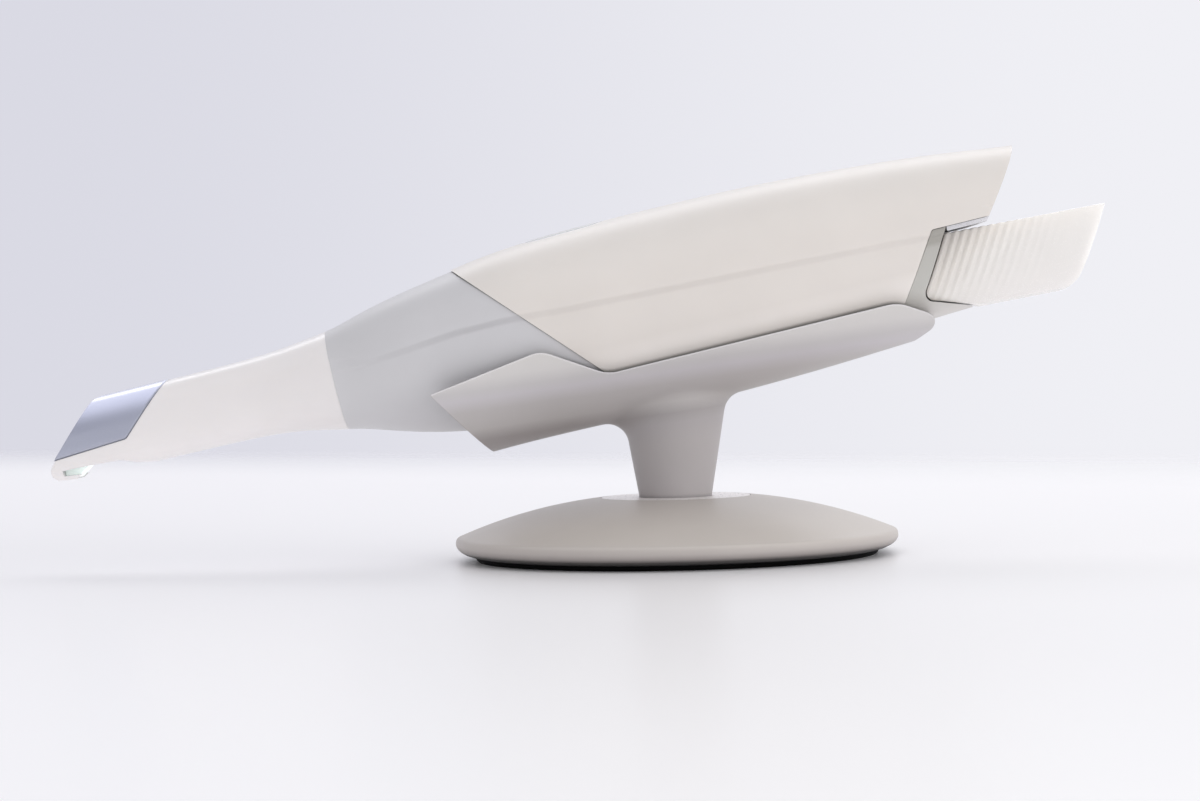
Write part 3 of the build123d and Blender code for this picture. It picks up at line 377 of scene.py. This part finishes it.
# Several finishes below carry painted light and shade: ramps by place, painted shade in the belt's step and in
# seams and gaps, and a painted highlight on the stand's upper rim
MATERIALS = {
    "white_plastic": moulded("white_plastic", SHELL_PAINTED_SHADING, 0.36, edge=0.08, way=ACROSS, belt_shade=0.06,
                             crevice_shade=0.6, Subsurface_Weight=0.10),
    "sleeve_plastic": moulded("sleeve_plastic", (232, 228, 228), 0.32, coat=0.35, edge=0.25, crevice_shade=0.4,
                              Subsurface_Weight=0.15),
    "cap_metal": lacquer("cap_metal", (182, 186, 203), 0.30, 0.3),
    # The tip's window glows faintly, painted light that brightens it in the shade under the tip
    "tip_glass": glass("tip_glass", (232, 244, 240), 0.05, 0.0, 0.26),
    "mirror_glass": metal("mirror_glass", (232, 234, 238), 0.06, (1, 1, 1), depth=0.0005),
    "grey_plastic": moulded("grey_plastic", (203, 202, 205), 0.38, edge=0.06, belt_shade=0.11, crevice_shade=0.6),
    "tail_grey": moulded("tail_grey", TAIL_PAINTED_SHADING, 0.38, edge=0.2, way=ACROSS),
    "silver_trim": metal("silver_trim", (226, 225, 228), 0.28, (1, 12, 12), metallic=0.4),
    "black_anodised": metal("black_anodised", (40, 40, 43), 0.45, (1, 6, 6), metallic=0.7),
    "lens_glass": glass("lens_glass", (220, 226, 238), 0.03, 0.8),
    "board_green": circuit("board_green"),
    "chip_black": moulded("chip_black", (38, 38, 41), 0.5, grain=0.2),
    "lamp_white": moulded("lamp_white", (240, 240, 228), 0.25),
    "chassis_metal": metal("chassis_metal", (178, 180, 184), 0.48, (2, 2, 2), depth=0.008),
    "screw_steel": metal("screw_steel", (186, 186, 188), 0.30, (3, 3, 3)),
    "contact_gold": metal("contact_gold", (222, 184, 106), 0.24, (4, 1, 4)),
    "connector_black": moulded("connector_black", (34, 34, 36), 0.48, grain=0.25),
    "ring_clear": moulded("ring_clear", (222, 226, 230), 0.20, coat=0.5),
    "button_grey": moulded("button_grey", (206, 206, 203), 0.50),
    "battery_white": moulded("battery_white", BATTERY_PAINTED_SHADING, 0.24, coat=0.3, way=BATTERY_SHADE_WAY,
                             Subsurface_Weight=0.75, Subsurface_Scale=0.0035,
                             Subsurface_Radius=(1.0, 1.0, 1.0)),
    "cell_foil": metal("cell_foil", (168, 172, 176), 0.34, (1, 8, 8)),
    "stand_grey": moulded("stand_grey", STAND_PAINTED_SHADING, 0.44, edge=0.35, grain=0.3, depth=0.006,
                          way=STAND_SHADE_WAY, crevice_shade=0.6, rim_highlight=(240, 238, 241)),
    "base_grey": moulded("base_grey", BASE_PAINTED_SHADING, 0.40, edge=0.3, grain=0.3, depth=0.006, way=UPRIGHT,
                         crevice_shade=0.4),
    "disc_satin": metal("disc_satin", (242, 237, 236), 0.30, (1, 1, 1), metallic=0.2),
    "weight_steel": metal("weight_steel", (96, 96, 98), 0.5, (1, 1, 6), depth=0.01),
    "foot_rubber": moulded("foot_rubber", (7, 7, 7), 0.75, grain=0.5, depth=0.02, Specular_IOR_Level=0.1),
}

for subpart in frame["record"]["subparts"]:
    body = frame["nodes"][subpart["node"]]
    for holder in body.material_slots:
        holder.material = MATERIALS[subpart["material_slot"]]

# Camera
dip = radians(CAMERA_DIP)
aim = Vector(CAMERA_AIM)
camera = bpy.data.objects.new("camera", bpy.data.cameras.new("camera"))
camera.data.lens = CAMERA_LENS
camera.data.sensor_width = SENSOR_WIDTH
camera.data.clip_start = 0.01
turn = Euler((radians(90) - dip, 0, 0)).to_matrix() @ Matrix.Rotation(radians(-CAMERA_ROLL), 3, "Z")
camera.matrix_world = Matrix.Translation(aim + CAMERA_DISTANCE * Vector((0, -cos(dip), sin(dip)))) @ turn.to_4x4()
bpy.context.scene.collection.objects.link(camera)
bpy.context.scene.camera = camera

# Table
surface = Nodes("table")
axes = surface.add("ShaderNodeSeparateXYZ")
surface.join(surface.place, axes.inputs["Vector"])
depth = axes.outputs["Y"]
near = surface.maths("MULTIPLY", smooth_step(surface.tree, depth, *TABLE_FRONT), TABLE_FRONT_GLOW)
bounce = surface.maths("MULTIPLY", surface.add("ShaderNodeLightPath").outputs["Is Diffuse Ray"], TABLE_BOUNCE)
glow = surface.maths("ADD", near, bounce)
surface.put(Base_Color=linear(*TABLE_COLOUR), Roughness=TABLE_ROUGH, Specular_IOR_Level=TABLE_GLOSS,
            Emission_Color=WHITE)
surface.paint(Emission_Strength=surface.maths("ADD", glow, TABLE_GLOW))
reach = surface.add("ShaderNodeVectorMath", operation="LENGTH")
surface.join(surface.place, reach.inputs[0])
fade = surface.maths("MAXIMUM", smooth_step(surface.tree, depth, *TABLE_EDGE),
                     smooth_step(surface.tree, reach.outputs["Value"], *TABLE_REACH))
cover = surface.add("ShaderNodeMixShader")
surface.join(fade, cover.inputs["Fac"])
surface.join(surface.shader.outputs["BSDF"], cover.inputs[1])
surface.join(surface.add("ShaderNodeBsdfTransparent").outputs["BSDF"], cover.inputs[2])
surface.join(cover.outputs["Shader"], surface.output.inputs["Surface"])
half = TABLE_REACH[1]
mesh = bpy.data.meshes.new("table")
mesh.from_pydata([(-half, -half, 0), (half, -half, 0), (half, half, 0), (-half, half, 0)], [], [(0, 1, 2, 3)])
table = bpy.data.objects.new("table", mesh)
table.rotation_euler = (0, 0, radians(TABLE_TURN))
table.data.materials.append(surface.material)
bpy.context.scene.collection.objects.link(table)

# Room's light
world = bpy.data.worlds.new("room")
world.use_nodes = True
tree = world.node_tree
direction = tree.nodes.new("ShaderNodeSeparateXYZ")
tree.links.new(tree.nodes.new("ShaderNodeTexCoord").outputs["Generated"], direction.inputs["Vector"])
rightwards, backwards, upwards = (direction.outputs[axis] for axis in "XYZ")
sideways = math_node(tree, "ADD", math_node(tree, "MULTIPLY", rightwards, ROOM_LIGHT_RIGHT),
                     math_node(tree, "MULTIPLY", backwards, ROOM_LIGHT_BACK))
light = tree.nodes["Background"]
light.inputs["Color"].default_value = WHITE
tree.links.new(math_node(tree, "ADD", sideways, ROOM_LIGHT), light.inputs["Strength"])

# Room's backdrop
across = mix_colours(tree, smooth_step(tree, rightwards, *ROOM_EDGES), linear(*ROOM_LEFT), linear(*ROOM_RIGHT))
ceiling = math_node(tree, "MULTIPLY", smooth_step(tree, upwards, *CEILING_RISE), CEILING_GAIN)
front = math_node(tree, "MULTIPLY", smooth_step(tree, backwards, *FRONT_RISE), FRONT_GAIN)
backdrop = tree.nodes.new("ShaderNodeBackground")
tree.links.new(across, backdrop.inputs["Color"])
tree.links.new(math_node(tree, "ADD", math_node(tree, "ADD", ceiling, front), 1.0), backdrop.inputs["Strength"])
path = tree.nodes.new("ShaderNodeLightPath")
seen = math_node(tree, "MAXIMUM", path.outputs["Is Camera Ray"], path.outputs["Is Glossy Ray"])
seen = math_node(tree, "MAXIMUM", seen, path.outputs["Is Transmission Ray"])
choose = tree.nodes.new("ShaderNodeMixShader")
tree.links.new(seen, choose.inputs["Fac"])
tree.links.new(light.outputs["Background"], choose.inputs[1])
tree.links.new(backdrop.outputs["Background"], choose.inputs[2])
tree.links.new(choose.outputs["Shader"], tree.nodes["World Output"].inputs["Surface"])
bpy.context.scene.world = world


def panel(name, place, target, size, power, mirrored):
    """A soft area lamp; mirrored says whether reflections show it."""
    lamp = bpy.data.objects.new(name, bpy.data.lights.new(name, "AREA"))
    lamp.data.shape = "RECTANGLE"
    lamp.data.size, lamp.data.size_y = size
    lamp.data.energy = power
    lamp.location = place
    lamp.rotation_euler = (Vector(target) - Vector(place)).to_track_quat("-Z", "Y").to_euler()
    lamp.visible_glossy = mirrored
    bpy.context.scene.collection.objects.link(lamp)


panel("back_panel", (0.1, 0.85, 0.95), (0, 0, 0.05), (1.5, 0.5), 3.0, True)
panel("right_panel", (1.2, -0.8, 0.35), (0, 0, 0.08), (0.8, 0.7), 4.6, False)

bpy.context.scene.view_settings.view_transform = "Standard"
